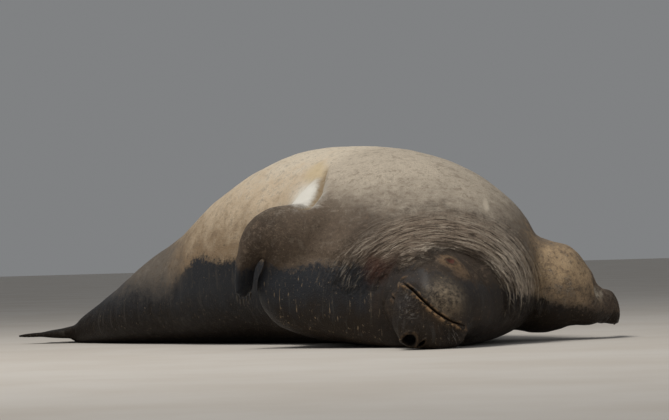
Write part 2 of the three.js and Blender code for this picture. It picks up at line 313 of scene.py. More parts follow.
def headDirection(forward, right, chin):
    return (headPoint(forward, right, chin) - headPoint(0, 0, 0)).normalized()


def coordinates(thing):
    found = np.empty(len(thing.data.vertices) * 3)
    thing.data.vertices.foreach_get("co", found)
    return found.reshape(-1, 3)


def normals(thing):
    found = np.empty(len(thing.data.vertices) * 3)
    thing.data.vertex_normals.foreach_get("vector", found)
    return found.reshape(-1, 3)


def move(thing, points):
    thing.data.vertices.foreach_set("co", points.ravel())
    thing.data.update()


def surfaceTree(thing):
    bpy.context.view_layer.update()
    return BVHTree.FromObject(thing, bpy.context.evaluated_depsgraph_get())


def applied(thing, kind, **settings):
    activate(thing)
    added = thing.modifiers.new(kind.lower(), kind)
    for key, value in settings.items():
        setattr(added, key, value)
    bpy.ops.object.modifier_apply(modifier=added.name)


def subdivideWhere(thing, chosen):
    # chosen says of each face's middle whether its face is divided
    activate(thing)
    bpy.ops.object.mode_set(mode="EDIT")
    bpy.ops.mesh.select_mode(type="FACE")
    bpy.ops.mesh.select_all(action="DESELECT")
    bpy.ops.object.mode_set(mode="OBJECT")
    middles = np.empty(len(thing.data.polygons) * 3)
    thing.data.polygons.foreach_get("center", middles)
    thing.data.polygons.foreach_set("select", chosen(middles.reshape(-1, 3)))
    bpy.ops.object.mode_set(mode="EDIT")
    bpy.ops.mesh.subdivide(number_cuts=1, smoothness=0)
    bpy.ops.object.mode_set(mode="OBJECT")


def throughPixel(tree, px, py):
    # where the line of sight through a pixel of the picture meets a surface
    across = (px - photograph["wide"] / 2) / photograph["focalPixels"]
    down = (py - photograph["high"] / 2) / photograph["focalPixels"]
    ray = camera.matrix_world.to_3x3() @ Vector((across, -down, -1)).normalized()
    hit = tree.ray_cast(camera.matrix_world.translation, ray)[0]
    if hit is None:  # just past the outline, so the nearest place on it
        hit = tree.find_nearest(camera.matrix_world.translation + ray * photograph["distance"])[0]
    return hit


bpy.ops.object.select_all(action="DESELECT")
copies = []
for name in fleshNodes:
    copied = frame["nodes"][name].copy()
    copied.data = copied.data.copy()
    copied.parent = None
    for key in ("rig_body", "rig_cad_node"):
        del copied[key]
    bpy.context.scene.collection.objects.link(copied)
    activate(copied)
    bpy.ops.object.mode_set(mode="EDIT")
    bpy.ops.mesh.select_all(action="SELECT")
    bpy.ops.mesh.remove_doubles(threshold=0.00001)
    bpy.ops.transform.shrink_fatten(value=hideForm["swell"])
    bpy.ops.object.mode_set(mode="OBJECT")
    copies.append(copied)
bpy.ops.object.select_all(action="DESELECT")
for copied in copies:
    copied.select_set(True)
bpy.context.view_layer.objects.active = copies[0]
bpy.ops.object.join()
hide = bpy.context.object
hide.name = "hide"
hide.data.name = "hide"
hide.data.materials.clear()
applied(hide, "REMESH", mode="VOXEL", voxel_size=hideForm["voxel"], adaptivity=0)
print("hide remeshed", len(hide.data.vertices))

# the swelling that closed the seams is taken back, and the hands keep more of their shape
seen = toViewer(coordinates(hide))
hands = np.zeros(len(seen))
for x, y, z, reach in hideForm["handAreas"]:
    apart = np.linalg.norm(seen - np.array([x, y, z]), axis=1)
    hands = np.maximum(hands, 1 - smooth(apart, reach * 0.75, reach))
softGroup = hide.vertex_groups.new(name="softening")
for index, hand in enumerate(hands):
    softGroup.add([index], float(1 - hand * (1 - hideForm["handSmoothing"])), "REPLACE")
move(hide, coordinates(hide) - normals(hide) * hideForm["swell"])
applied(hide, "SMOOTH", factor=0.5, iterations=hideForm["smoothing"], vertex_group="softening")
hide.vertex_groups.clear()
print("hide softened")

# finer mesh on the head, the neck and the arm's root, then finest round mouth, nose and eyes
mouthForm = {
    "pixels": [(402, 282), (408, 286.5), (414, 291), (421, 298.5), (430, 307), (438, 313.5),
               (452, 322), (466, 326)],
    "samples": 90, "groove": 0.017, "grooveWidth": 0.0050,
    "upperLip": {"high": 0.012, "at": -0.014, "wide": 0.011},
    "chinLip": {"high": 0.006, "at": 0.014, "wide": 0.012},
    "cornerFold": {"high": 0.008, "at": 0.030, "wide": 0.009},
}
nostrilForm = [
    {"pixel": (408.5, 341.5), "wide": 0.031, "high": 0.041, "depth": 0.050, "rim": 0.008},
    {"pixel": (421, 344), "wide": 0.010, "high": 0.027, "depth": 0.020, "rim": 0.005},
]
eyeForm = {"forward": -0.190, "side": 0.150, "drop": -0.095, "long": 0.036, "arch": 0.005,
           "slit": 0.0045, "depth": 0.007, "lidAt": 0.014, "lidWide": 0.007, "lidHigh": 0.005,
           "foldSpacing": 0.013, "foldHigh": 0.0022}
soreForm = {"pixel": (451, 261.5), "rim": 0.028, "rimWide": 0.010, "rimHigh": 0.004,
            "pitFrom": 0.006, "pitTo": 0.024, "depth": 0.009}
folds = {"heart": (0.52, -0.80, 0.22), "squash": (1.0, 0.8, 1.22), "inner": 0.30, "outer": 0.62,
         "spacing": 0.043, "height": 0.0095}
finerMesh = {"head": 0.62, "features": 0.055, "lips": 0.022, "nose": 0.048}  # how far round


def headHit(tree, forward, side, drop):
    centre = headForm["centre"]
    direction = headDirection(forward - centre[0], side - centre[1], drop - centre[2])
    return tree.ray_cast(headPoint(*centre), direction)[0]


def along(tree, pixels, samples):
    # points evenly spaced on the hide, under a line drawn through pixels of the picture
    lengths = np.arange(len(pixels))
    steps = np.linspace(0, len(pixels) - 1, samples)
    px = np.interp(steps, lengths, [p[0] for p in pixels])
    py = np.interp(steps, lengths, [p[1] for p in pixels])
    rounded = np.ones(9) / 9
    px[4:-4], py[4:-4] = np.convolve(px, rounded, "valid"), np.convolve(py, rounded, "valid")
    return np.array([throughPixel(tree, x, y) for x, y in zip(px, py)])


# soft shoves that fill out the flesh: where, how far round and which way, as the viewer sees it
shoves = {
    "snoutSide": {"pixel": (403, 328), "reach": 0.17, "push": (-0.040, 0, 0)},
    "noseTip": {"pixel": (412, 342), "reach": 0.10, "push": (-0.016, 0, -0.004)},
    "flank": {"pixel": (290, 312), "reach": 0.36, "push": (-0.085, 0, -0.01)},
    "flankTop": {"pixel": (276, 280), "reach": 0.20, "push": (-0.045, 0, 0)},
    "armTop": {"pixel": (256, 216), "reach": 0.14, "push": (-0.012, 0, 0.028)},
    "shoulderTop": {"pixel": (572, 254), "reach": 0.16, "push": (0.010, 0, 0.022)},
    "wristNotch": {"pixel": (603, 288), "reach": 0.10, "push": (-0.035, 0, -0.015)},
    "knobUnder": {"pixel": (615, 319), "reach": 0.08, "push": (-0.030, 0, 0.030)},
    "palm": {"pixel": (590, 317), "reach": 0.13, "push": (0, 0, -0.026)},
    "knobTop": {"pixel": (612, 296), "reach": 0.07, "push": (0.006, 0, 0.012)},
}


def shoved(tree, points, shove, loose):
    centre = np.array(throughPixel(tree, *shove["pixel"]))
    reach = np.linalg.norm(points - centre, axis=1) / shove["reach"]
    share = np.clip(1 - reach ** 2, 0, 1) ** 2
    push = np.array(fromViewer(*shove["push"]) - fromViewer(0, 0, 0))
    return points + np.outer(share * loose, push)


# the flank is filled out behind the left hand, and the hand itself stays
leftHand = {"x": -0.475, "y": -0.33, "low": 0.22, "high": 0.50, "still": 0.08, "free": 0.13}
tree = surfaceTree(hide)
points = coordinates(hide)
seen = toViewer(points)
handMiddle = np.stack([np.full(len(seen), leftHand["x"]), np.full(len(seen), leftHand["y"]),
                       np.clip(seen[:, 2], leftHand["low"], leftHand["high"])], axis=1)
handGap = np.linalg.norm(seen - handMiddle, axis=1)
for name, shove in shoves.items():
    loose = smooth(handGap, leftHand["still"], leftHand["free"]) if "flank" in name else 1
    points = shoved(tree, points, shove, loose)
move(hide, points)
print("hide filled out")

tree = surfaceTree(hide)
mouthLine = along(tree, mouthForm["pixels"], mouthForm["samples"])
nostrils = [np.array(throughPixel(tree, *nostril["pixel"])) for nostril in nostrilForm]
eyes = [np.array(headHit(tree, eyeForm["forward"], side * eyeForm["side"], eyeForm["drop"]))
        for side in (-1, 1)]
wound = np.array(throughPixel(tree, *soreForm["pixel"]))


def nearHead(middles):
    away = (toViewer(middles) - np.array(folds["heart"])) * [0.9, 1, 1]
    return np.linalg.norm(away, axis=1) < finerMesh["head"]


def nearFeatures(middles):
    places = np.concatenate([mouthLine[::4], nostrils, eyes])
    return distances(middles, places).min(axis=1) < finerMesh["features"]


def nearLips(middles):
    toLips = distances(middles, mouthLine[::2]).min(axis=1)
    toNose = distances(middles, np.array(nostrils)).min(axis=1)
    return (toLips < finerMesh["lips"]) | (toNose < finerMesh["nose"])


subdivideWhere(hide, nearHead)
subdivideWhere(hide, nearFeatures)
subdivideWhere(hide, nearLips)
print("hide divided", len(hide.data.vertices))

# folds, furrows, lips and nostrils, all set by distance from the lines that they follow
points = coordinates(hide)
outward = normals(hide)
seen = toViewer(points)
swing, fine, crisp = [np.array([noise.noise(Vector(p) * scale) for p in points])
                      for scale in hideForm["lumpScales"]]
swingHigh, fineHigh, crispHigh = hideForm["lumpHeights"]
lump = swing * swingHigh + fine * fineHigh + crisp * crispHigh
calm = smooth(seen[:, 2], 0.02, 0.10)

heartGap = np.linalg.norm((seen - np.array(folds["heart"])) * folds["squash"], axis=1)
band = smooth(heartGap, folds["inner"], folds["inner"] + 0.05)
band *= 1 - smooth(heartGap, folds["outer"] - 0.18, folds["outer"])
lowEdge = 0.24 - 0.16 * smooth(seen[:, 0], 0.2, 0.8)
band *= smooth(seen[:, 2], lowEdge, lowEdge + 0.14)
patchy = np.clip(0.6 + swing * 1.6 + fine * 1.2, 0.0, 1.3)
wave = np.sin((heartGap + swing * 0.045 + fine * 0.016) / folds["spacing"] * 2 * math.pi)
foldLift = wave * 0.5 * folds["height"] * band * patchy

shift = outward * (lump * calm + foldLift)[:, None]
marks = np.zeros((len(points), 4))  # painted shade in the mouth's line, nostrils and eye slits, the lip edge, and the armpit crease's stain with painted shade, for the colours
marks[:, 3] = 1

# the mouth
indexes = np.nonzero(np.linalg.norm(points - mouthLine.mean(axis=0), axis=1) < 0.32)[0]
gaps = distances(points[indexes], mouthLine)
nearest = gaps.argmin(axis=1)
distance = gaps.min(axis=1)
fromMiddle = np.abs(nearest / (len(mouthLine) - 1) * 2 - 1)
taper = np.clip(1 - fromMiddle ** 4, 0, 1) ** 0.7
chinward = np.array(headDirection(0, 0, 1))
aside = (points[indexes] - mouthLine[nearest]) @ chinward
wide = mouthForm["grooveWidth"] * (0.45 + 0.55 * taper)
groove = bell(distance, wide) * np.clip(taper * 1.4, 0, 1)
close = np.clip(taper + 0.15, 0, 1) * (distance < 0.05)
lipLift = 0
for lip in (mouthForm["upperLip"], mouthForm["chinLip"]):
    lipLift = lipLift + bell(aside - lip["at"], lip["wide"]) * lip["high"]
lift = lipLift * close * (1 - groove) - mouthForm["groove"] * groove
shift[indexes] += outward[indexes] * lift[:, None]
# painted shade along the mouth's groove
grooveShade = bell(distance, wide * 1.15) * np.clip(taper * 2, 0, 1)
marks[indexes, 0] = np.maximum(marks[indexes, 0], grooveShade)
pale = bell(aside + 0.012, 0.009) * np.clip(taper + 0.2, 0, 1) * (distance < 0.035)
pale += bell(aside - 0.010, 0.004) * taper * (distance < 0.02) * 0.5
marks[indexes, 1] = np.maximum(marks[indexes, 1], pale)

# the puckered fold round the mouth's near corner
cornerFold = mouthForm["cornerFold"]
away = points - mouthLine[1]
pucker = bell(np.linalg.norm(away, axis=1) - cornerFold["at"], cornerFold["wide"])
pucker *= smooth(away @ (mouthLine[1] - mouthLine[20]), -0.0006, 0.0006)
shift += outward * (pucker * cornerFold["high"])[:, None]
marks[:, 1] = np.maximum(marks[:, 1], pucker * 0.35)

# the nostrils
for hole, nostril in zip(nostrils, nostrilForm):
    inside = np.array((Vector(headPoint(*headForm["centre"])) - Vector(hole)).normalized())
    away = points - hole
    flat = away - np.outer(away @ inside, inside)
    upright = chinward - inside * (chinward @ inside)
    upright /= np.linalg.norm(upright)
    across = np.cross(upright, inside)
    reach = np.hypot(flat @ upright / nostril["high"], flat @ across / nostril["wide"])
    reach[np.linalg.norm(away, axis=1) > 0.09] = 9  # the far side of the head
    pit = 1 - smooth(reach, 0.50, 1.05)
    shift += np.outer(pit * nostril["depth"], inside)
    shift += outward * (bell(reach - 1.30, 0.22) * nostril["rim"])[:, None]
    # painted shade in the nostrils' pits
    marks[:, 0] = np.maximum(marks[:, 0], 1 - smooth(reach, 0.80, 1.12))
    marks[:, 1] = np.maximum(marks[:, 1], bell(reach - 1.25, 0.14) * 0.12)

# the closed eyes: a slit between two lids, with folds round them
for eye in eyes:
    apart = onHeadFrame(points) - onHeadFrame(eye[None, :])
    alongLid = apart[:, 0] / eyeForm["long"]
    fromSlit = apart[:, 2] - eyeForm["arch"] * (1 - alongLid ** 2)
    close = (np.linalg.norm(apart, axis=1) < 0.09) * np.clip(1 - np.abs(alongLid) ** 3, 0, 1)
    slit = bell(fromSlit, eyeForm["slit"]) * close
    lids = bell(np.abs(fromSlit) - eyeForm["lidAt"], eyeForm["lidWide"]) * close
    shift += outward * (lids * eyeForm["lidHigh"] - slit * eyeForm["depth"])[:, None]
    marks[:, 1] = np.maximum(marks[:, 1], lids * 0.22)
    # painted shade in the eye slit
    marks[:, 0] = np.maximum(marks[:, 0], slit)
    reach = np.sqrt((apart[:, 0] / 1.5) ** 2 + apart[:, 2] ** 2 + (apart[:, 1] * 0.3) ** 2)
    fold = np.sin(reach / eyeForm["foldSpacing"] * 2 * math.pi)
    fold = fold * (1 - smooth(reach, 0.03, 0.06)) * (reach > 0.018)
    shift += outward * (fold * eyeForm["foldHigh"])[:, None]

# furrows: behind the arm, over the hip and down the whisker pads
furrows = {
    "armpit": {"pixels": [(293, 206), (304, 207), (312, 202), (318, 193), (320, 183), (322, 172),
                          (330, 160)], "depth": 0.034, "wide": 0.024, "stainAndCreaseShade": 1},
    "hip": {"pixels": [(178, 252), (176, 268), (175, 285), (177, 305)], "depth": 0.012,
            "wide": 0.030},
    "jowl": {"pixels": [(384, 322), (382, 310), (384, 298), (391, 287)], "depth": 0.010,
             "wide": 0.012},
    "innerJowl": {"pixels": [(392, 326), (389, 313), (391, 301), (397, 292)], "depth": 0.006,
                  "wide": 0.008},
    "chestFold": {"pixels": [(300, 262), (318, 256), (338, 262), (352, 274)], "depth": 0.010,
                  "wide": 0.025},
}
for furrow in furrows.values():
    path = along(tree, furrow["pixels"], 60)
    indexes = np.nonzero(np.linalg.norm(points - path.mean(axis=0), axis=1) < 0.6)[0]
    gaps = distances(points[indexes], path)
    alongPath = gaps.argmin(axis=1) / (len(path) - 1)
    taper = np.clip(np.sin(alongPath * math.pi) * 1.6, 0.1, 1)
    dip = bell(gaps.min(axis=1), furrow["wide"]) * taper
    shift[indexes] -= outward[indexes] * (dip * furrow["depth"])[:, None]
    # the armpit's furrow is marked for a yellow-brown colour: partly stain, partly painted shade in
    # the fold
    marks[indexes, 2] = np.maximum(marks[indexes, 2], dip * furrow.get("stainAndCreaseShade", 0))

# the raw sore on the throat
apart = np.linalg.norm(points - wound, axis=1)
soreLift = bell(apart - soreForm["rim"], soreForm["rimWide"]) * soreForm["rimHigh"]
soreLift -= (1 - smooth(apart, soreForm["pitFrom"], soreForm["pitTo"])) * soreForm["depth"]
shift += outward * soreLift[:, None]

points = points + shift
points[:, 2] = np.maximum(points[:, 2], hideForm["lowest"])
move(hide, points)
layer = hide.data.color_attributes.new("marks", "FLOAT_COLOR", "POINT")
layer.data.foreach_set("color", marks.ravel())
activate(hide)
bpy.ops.object.shade_smooth()
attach(hide, "root")
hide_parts(*fleshNodes)
print("hide shaped", len(hide.data.vertices))


# the hide's colours: pale and dry above the water's mark, dark and wet below it, with painted shade
# towards the floor
hideLook = {
    "cream": (0.74, 0.65, 0.52), "tan": (0.66, 0.53, 0.38), "ochre": (0.30, 0.215, 0.135),
    "chest": (0.60, 0.52, 0.415), "chestLow": (0.105, 0.080, 0.062), "hind": (0.17, 0.145, 0.12),
    "arm": (0.066, 0.048, 0.035), "armRootTintAndHighlight": (0.135, 0.100, 0.072),
    "face": (0.045, 0.034, 0.026), "faceLowShade": (0.024, 0.018, 0.014),
    "faceBrown": (0.078, 0.050, 0.032), "redBrownShade": (0.075, 0.040, 0.026),
    "shoulder": (0.60, 0.43, 0.26), "shoulderPatch": (0.78, 0.66, 0.52),
    # ridge: pale scratches on the neck's ridges, partly painted highlight
    "neck": (0.42, 0.325, 0.245), "neckRight": (0.62, 0.52, 0.42), "ridgePaleAndHighlight": (0.80, 0.68, 0.54),
    "brownPatch": (0.17, 0.125, 0.090), "palePatch": (0.66, 0.575, 0.465),
    # speck: dark specks, and also the painted shade in the neck's furrows
    "brown": (0.24, 0.18, 0.13), "speckAndFurrowShade": (0.05, 0.036, 0.026), "fleck": (0.36, 0.28, 0.19),
    # wet: the wet skin's dark colour with a painted bluish sheen; the darkest colour low down is
    # painted shade
    "wet": (0.027, 0.029, 0.034), "wetLowShade": (0.013, 0.0085, 0.0055),
    "wetFront": (0.026, 0.018, 0.012), "run": (0.075, 0.068, 0.060), "drip": (0.30, 0.22, 0.14),
    "chin": (0.46, 0.36, 0.245), "padRing": (0.16, 0.145, 0.13),
    # stain: the armpit crease's yellow brown, partly stain, partly painted shade
    "white": (0.90, 0.87, 0.79), "yellow": (0.66, 0.52, 0.30), "stainAndCreaseShade": (0.28, 0.195, 0.10),
    "crust": (0.36, 0.23, 0.13), "sore": (0.125, 0.050, 0.037), "graze": (0.12, 0.050, 0.032),
    # cavity: near-black painted shade for the mouth's line, the nostrils and the eye slits
    "lip": (0.50, 0.31, 0.16), "cavityShade": (0.003, 0.002, 0.002),
    "waterHeight": 0.420, "coatRoughness": 0.30, "specular": 0.14,
}
# pixels of the picture under which a patch of colour lies, and how its place is squashed
hideSpots = {
    "neckRight": ((514, 272), (1.0, 0.6, 0.7)), "shoulder": ((564, 266), (0.9, 0.7, 1.0)),
    "knobHighlightSpot": ((597, 293), (1.0, 0.5, 1.0)), "chin": ((448, 297), (1, 1, 1)),
    "pad": ((400, 308), (1, 1, 1)), "padRings": ((412, 306), (1, 1, 0.8)),
    "redBrownShade": ((392, 266), (0.55, 0.6, 1.0)), "drips": ((316, 314), (0.7, 0.5, 1.0)),
    "white": ((301, 195), (0.8, 0.30, 0.8)), "scar": ((486, 205), (2.0, 0.5, 0.55)),
    "yellow": ((316, 172), (1.3, 0.6, 0.75)), "crust": ((462, 272), (0.9, 0.6, 1.0)),
    "graze": ((375, 267), (0.9, 0.7, 0.9)),
}
hideSkin, skinTree, skinShader, place = material("sealHide")
seenPlace = viewerPlace(place)
seenX, seenY, seenZ = seenPlace.parts()
marked = Wire(skinTree).make("ShaderNodeAttribute", {"attribute_name": "marks"}, None, "Color")
# the marks: painted shade in recesses, the lip edge, and the armpit crease's stain with painted
# shade
cavityShade, lipEdge, creaseStainAndShade = marked.parts("ShaderNodeSeparateColor")

broad = seenPlace.grain(2.4, 4) - 0.5
mottle = (seenPlace.grain(10, 6, 0.66) - 0.5) * 1.7
patch = (seenPlace.grain(21, 5, 0.68, 0.4) - 0.5) * 4.6
speckle = (seenPlace.grain(46, 5, 0.7) - 0.5) * 3.2
grit = (seenPlace.grain(125, 4, 0.7) - 0.5) * 3.4
fur = seenPlace.stretched(1, 1, 0.4).grain(240, 3, 0.6)


def spotPlace(name):
    return tuple(toViewer(np.array([throughPixel(tree, *hideSpots[name][0])]))[0])


def fromSpot(name):
    return seenPlace.farFrom(spotPlace(name), hideSpots[name][1])


def painted(under, *layers):
    # each named colour is laid over the last one by its share
    for name, share in layers:
        under = blended(under, hideLook[name], share)
    return under


def streaks(centre, squash, around, across, detail=3.0):
    # broken lines that run round a centre: noise drawn out along each ring
    away = seenPlace.awayFrom(centre, squash)
    ring = away.vectorMaths("NORMALIZE").stretched(around, around, around)
    values = {"Vector": ring, "W": (away.length() + mottle * 0.022) / across,
              "Scale": 1.0, "Detail": detail, "Roughness": 0.62}
    return ring.make("ShaderNodeTexNoise", {"noise_dimensions": "4D"}, values)


# the dry coat: tan over the belly, greyer on the chest, dark towards the neck and the flanks
bellyward = seenY - seenX * 0.9 + broad * 0.20 + mottle * 0.20 + speckle * 0.05
bellyward = bellyward.ramp(-0.06, 0.32)
leftDark = seenX.ramp(0.42, 0.05) * seenZ.ramp(0.80, 0.62) * 0.17
chestLight = (seenZ - leftDark + mottle * 0.22 + broad * 0.26 + speckle * 0.09).ramp(0.43, 0.98)
chest = blended(hideLook["chestLow"], hideLook["chest"], chestLight)
bellyLight = seenZ + mottle * 0.34 + broad * 0.16 + speckle * 0.10 + grit * 0.05
belly = blended(hideLook["ochre"], hideLook["tan"], bellyLight.ramp(0.47, 0.84))
belly = painted(belly, ("cream", (seenZ + mottle * 0.30 + speckle * 0.1).ramp(0.78, 1.05)))

# patches of the dry coat, each round its own place, with painted highlight in part of the arm's
# paler root and on the knob's top
fromHeart = seenPlace.farFrom(folds["heart"], folds["squash"])
neckNear = (fromHeart + mottle * 0.12).ramp(0.66, 0.50) * seenX.ramp(0.05, 0.35)
neckRight = fromSpot("neckRight") + mottle * 0.08 + speckle * 0.03
hindward = (seenX + mottle * 0.12).ramp(-0.78, -0.98)
fromShoulder = fromSpot("shoulder") + mottle * 0.32 + speckle * 0.10
shoulderPatches = (mottle + speckle * 0.5).ramp(0.12, 0.55) * fromShoulder.ramp(0.36, 0.16)
fromArm = seenPlace.farFrom((-0.26, -0.36, 0.55), (0.9, 0.75, 1.15)) + mottle * 0.07
armNear = fromArm.ramp(0.46, 0.26) * (1.0 - bellyward)
# the arm paler brown towards its root: partly its brown tint, partly painted highlight
armTone = blended(hideLook["arm"], hideLook["armRootTintAndHighlight"], (seenX + mottle * 0.2).ramp(-0.40, -0.15))
knobNear = seenPlace.farFrom((1.45, 0.28, 0.15), (1.0, 0.6, 1.0)).ramp(0.22, 0.12)
# a cream fleck on top of the right hand's knob: a painted highlight
knobHighlight = fromSpot("knobHighlightSpot") + speckle * 0.012
faceNear = (fromHeart + mottle * 0.05).ramp(0.40, 0.32)
dry = painted(blended(chest, belly, bellyward),
              ("neck", neckNear * 0.85),
              ("neckRight", neckRight.ramp(0.24, 0.03) * 0.75),
              ("hind", hindward),
              ("shoulder", fromShoulder.ramp(0.34, -0.02) * 0.95),
              ("shoulderPatch", shoulderPatches * 0.65))
dry = painted(blended(dry, armTone, armNear * (0.86 + speckle * 0.3)),
              ("arm", knobNear),
              # the painted highlight on the knob's top
              ("cream", knobHighlight.ramp(0.045, 0.015) * 0.7),
              ("face", faceNear * 0.96))

# mottling from broad patches down to single specks
brownPatches = (patch + speckle * 0.3).ramp(0.02, 0.75) * (0.62 - bellyward * 0.30)
palePatches = (patch * -1.0 + grit * 0.3).ramp(0.10, 0.80) * (1.0 - faceNear)
specks = (speckle + grit * 0.7 + mottle * 0.6).ramp(0.02, 0.85) * (0.72 - bellyward * 0.20)
browns = (grit * 0.8 - speckle * 0.8).ramp(0.0, 0.75) * (1.0 - bellyward) * 0.55
dry = painted(dry,
              ("brownPatch", brownPatches * (seenZ * -0.6 + 1.25)),
              ("palePatch", palePatches * (chestLight * 0.35 + 0.10)),
              ("speckAndFurrowShade", specks),
              ("cream", (grit + speckle * 0.6).ramp(0.10, 0.80) * 0.62 * chestLight),
              ("brown", browns * (1.0 - faceNear * 0.7)))

# the water's mark, higher behind than in front and falling to the right
backRise = (seenY + 0.3).most(0.0).least(1.6) * 0.055
rightFall = (seenX - 0.30).most(0.0) * -0.27
hindFall = seenX.ramp(-0.74, -0.96) * -0.17
waterMark = backRise + rightFall + hindFall + hideLook["waterHeight"]
overWater = seenZ + mottle * 0.075 + speckle * 0.045 - waterMark
sharpWet = overWater.ramp(0.026, -0.022)
softWet = (overWater + mottle * 0.05).ramp(0.11, -0.12)
wet = sharpWet * (1.0 - hindward) + softWet * hindward
# painted shade: the wet skin darker still towards the floor, under the body
floorwardShade = (seenZ + mottle * 0.14 + speckle * 0.04).ramp(0.32, 0.10)
wetUnderShade = blended(hideLook["wetLowShade"], hideLook["wetFront"], seenX.ramp(-0.45, -0.20))
# the wet colour's bluish tint is a painted sheen
wetColour = painted(blended(hideLook["wet"], wetUnderShade, floorwardShade),
                    ("face", faceNear * 0.55),
                    # painted shade: the face darker low down towards the sand
                    ("faceLowShade", faceNear * seenZ.ramp(0.24, 0.10)))
faceBrown = (mottle + broad * 0.8 + speckle * 0.2).ramp(-0.05, 0.45) * faceNear
coat = painted(blended(dry, wetColour, wet), ("faceBrown", faceBrown * 0.55))

# wrinkles round the neck: pale scratchy ridges, partly painted highlight, over furrows darkened
# with painted shade
ringReach = fromHeart + mottle * 0.16 - seenX.ramp(0.72, 1.0) * 0.07
ringBand = (fromHeart + mottle * 0.04).ramp(0.305, 0.36) * ringReach.ramp(0.68, 0.48)
ringLow = seenX.ramp(0.2, 0.8) * -0.16 + 0.26
ringBand = ringBand * (seenZ + mottle * 0.10 - ringLow).ramp(0.0, 0.12)
rings = streaks(folds["heart"], folds["squash"], 3.6, 0.0105, 4.0)
crossing = streaks((0.40, -0.80, 0.02), (1.0, 0.8, 1.1), 4.2, 0.0095, 4.0)
ridgeLines = rings.ramp(0.53, 0.62).most(crossing.ramp(0.56, 0.65) * 0.85)
ridgeShare = seenX.ramp(0.70, 0.92) * 0.30 + neckRight.ramp(0.20, 0.05) * 0.35 + 0.50
ridgeShare = ridgeShare + mottle + patch * 0.25 + grit * 0.18
coat = painted(coat,
               # painted shade in the furrows between the ridges
               ("speckAndFurrowShade", rings.ramp(0.50, 0.38) * ringBand * 0.85),
               # the ridges paler: partly pale scratches, partly painted highlight
               ("ridgePaleAndHighlight", ridgeLines * ringBand * (1.0 - wet * 0.45) * ridgeShare))

# mottled chin, small flecks, painted shade in dark reddish brown between the head and the neck's
# folds, and runs and drips of water
chinNear = (fromSpot("chin") + mottle * 0.10 + speckle * 0.02).ramp(0.17, 0.02)
chinSpots = (speckle + mottle * 0.9 + grit * 0.4).ramp(-0.8, 0.9)
padNear = (fromSpot("pad") + mottle * 0.03).ramp(0.13, 0.06)
padRings = streaks(spotPlace("padRings"), hideSpots["padRings"][1], 2.0, 0.010).ramp(0.53, 0.62)
# painted shade: the recess between the head's dome and the neck's folds laid dark reddish brown
fromRedBrownShade = fromSpot("redBrownShade") + mottle * 0.05 + speckle * 0.02
runs = seenPlace.stretched(38, 38, 3.0).grain(1.0, 3, 0.6).ramp(0.56, 0.74)
drips = seenPlace.stretched(85, 85, 14).grain(1.0, 2, 0.55).ramp(0.63, 0.74)
dripsNear = (fromSpot("drips") + mottle * 0.2).ramp(0.34, 0.10)
coat = painted(coat,
               ("chin", chinNear * chinSpots * 0.80),
               ("face", chinNear * (grit - speckle * 0.6).ramp(0.15, 1.1) * 0.8),
               ("padRing", padRings * padNear * 0.75),
               ("redBrownShade", fromRedBrownShade.ramp(0.10, 0.02) * 0.6),
               ("fleck", seenPlace.grain(85, 3, 0.62).ramp(0.64, 0.74) * 0.65),
               ("run", runs * wet * 0.5),
               ("drip", drips * wet * (dripsNear * 0.7 + 0.18)))

# the armpit's white patch with its yellow fold, and its crease in yellow brown, partly stain and
# partly painted shade
whiteFar = fromSpot("white") + mottle * 0.06 + speckle * 0.012
yellowFar = fromSpot("yellow") + mottle * 0.06
coat = painted(coat,
               ("white", whiteFar.ramp(0.125, 0.04) * 0.92),
               ("cream", (fromSpot("scar") + speckle * 0.01).ramp(0.045, 0.015) * 0.6),
               ("yellow", yellowFar.ramp(0.11, 0.03) * 0.6),
               # partly stain, partly painted shade along the armpit's crease
               ("stainAndCreaseShade", (creaseStainAndShade + mottle * 0.5 + speckle * 0.1).ramp(0.15, 0.9) * 0.85))

# the sore on the throat, the graze beside the mouth, lips, and painted shade in the nostrils, the
# eye slits and the mouth's line
fromSore = seenPlace.farFrom(toViewer(wound[None, :])[0], (0.75, 0.75, 1.25)) + speckle * 0.022
grazeFar = fromSpot("graze") + mottle * 0.07 + speckle * 0.03
coat = painted(coat,
               ("crust", fromSore.ramp(0.070, 0.026) * 0.55),
               ("speckAndFurrowShade", fromSore.ramp(0.034, 0.026) * 0.8),
               ("sore", fromSore.ramp(0.021, 0.014)),
               ("crust", (fromSpot("crust") + speckle * 0.04).ramp(0.062, 0.01) * 0.32),
               ("graze", grazeFar.ramp(0.095, 0.0) * 0.6),
               ("lip", lipEdge * (speckle + mottle).ramp(-0.22, 0.12) * 0.85),
               # near-black painted shade in the mouth's line, the nostrils and the eye slits
               ("cavityShade", cavityShade))

roughness = (1.0 - wet) * 0.22 + 0.48 + mottle * 0.2
coatWet = wet * (1.0 - cavityShade) * (seenZ + mottle * 0.1).ramp(0.15, 0.32) * 0.09
cracks = seenPlace.cells(80).ramp(0.0, 0.10)
relief = raised(fur * 0.4 + grit * 0.3 + speckle * 0.25, 0.6, 0.006)
relief = raised(cracks * 0.35 + mottle, 0.5, 0.010, relief)
relief = raised((rings + crossing * 0.6) * ringBand, 1.0, 0.060, relief)
feed(skinTree, skinShader, Base_Color=coat, Roughness=roughness, Coat_Weight=coatWet, Normal=relief)
skinShader.inputs["Coat Roughness"].default_value = hideLook["coatRoughness"]
skinShader.inputs["Specular IOR Level"].default_value = hideLook["specular"]
hide.data.materials.append(hideSkin)
print("hide coloured")

